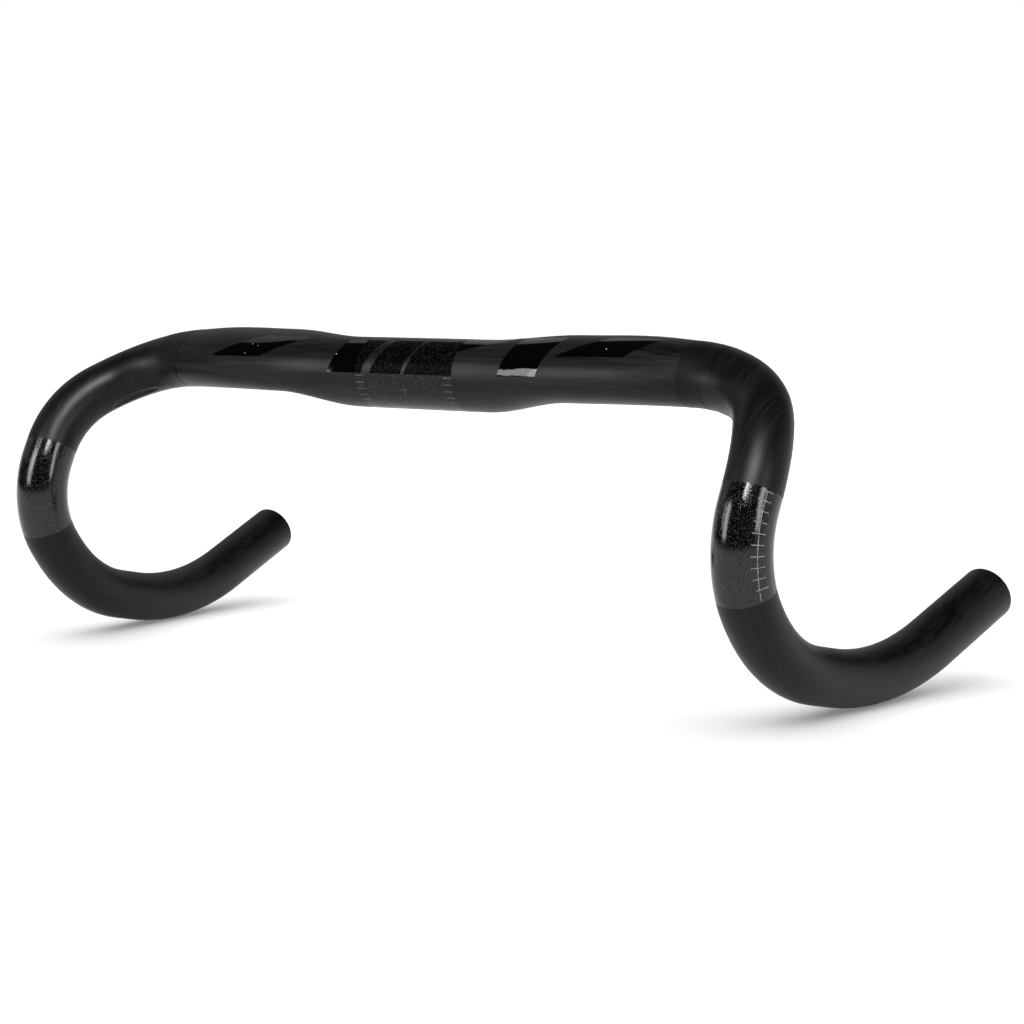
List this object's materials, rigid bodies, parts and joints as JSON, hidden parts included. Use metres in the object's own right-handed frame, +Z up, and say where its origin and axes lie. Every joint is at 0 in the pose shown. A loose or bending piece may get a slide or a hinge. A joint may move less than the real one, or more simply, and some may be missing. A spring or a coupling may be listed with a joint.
{
  "type": "drop handlebar",
  "caption": "Carbon road drop handlebar with flattened tops, compact curved drops, a gritted stem zone and gritted lever zones with a printed scale.",
  "frame": {"origin": "centre of the round stem clamp, on its axis, midway between the two ends", "axes": "+X along the bar towards the rider's left hand when riding, -Y towards the front of the bicycle, +Z up with the bar standing on its two hooks; on a bicycle the bar is turned about X, nose up by about 20 degrees, until the flattened tops are level"},
  "size_m": [0.447, 0.1993, 0.1518],
  "materials": {
    "carbon_satin": "satin clear coat over unidirectional carbon",
    "grip_coat": "black grit coat with fine sparkle under gloss",
    "gloss_lacquer": "gloss black lacquer",
    "ink": "pale grey printed line",
    "joint_wrap": "sanded carbon overwrap, smoother than the tube",
    "inner_laminate": "raw carbon laminate",
    "adhesive": "cured grey epoxy"
  },
  "bodies": {
    "root": {"clamp_reinforcement": "inner_laminate", "gloss_panel_left_long": "gloss_lacquer", "gloss_panel_left_short": "gloss_lacquer", "gloss_panel_right_long": "gloss_lacquer", "gloss_panel_right_short": "gloss_lacquer", "gloss_panel_right_wedge": "gloss_lacquer", "gloss_panel_stem_edge": "gloss_lacquer", "gloss_panel_stem_left": "gloss_lacquer", "gloss_panel_stem_right": "gloss_lacquer", "left_drop": "carbon_satin", "left_joint_adhesive": "adhesive", "left_joint_sleeve": "inner_laminate", "left_joint_wrap": "joint_wrap", "left_lever_grip_coating": "grip_coat", "left_lever_reinforcement": "inner_laminate", "left_lever_scale": "ink", "left_stem_ticks": "ink", "right_drop": "carbon_satin", "right_joint_adhesive": "adhesive", "right_joint_sleeve": "inner_laminate", "right_joint_wrap": "joint_wrap", "right_lever_grip_coating": "grip_coat", "right_lever_reinforcement": "inner_laminate", "right_lever_scale": "ink", "right_stem_ticks": "ink", "stem_centre_cross": "ink", "stem_grip_coating": "grip_coat", "top_section": "carbon_satin"}
  },
  "joints": []
}
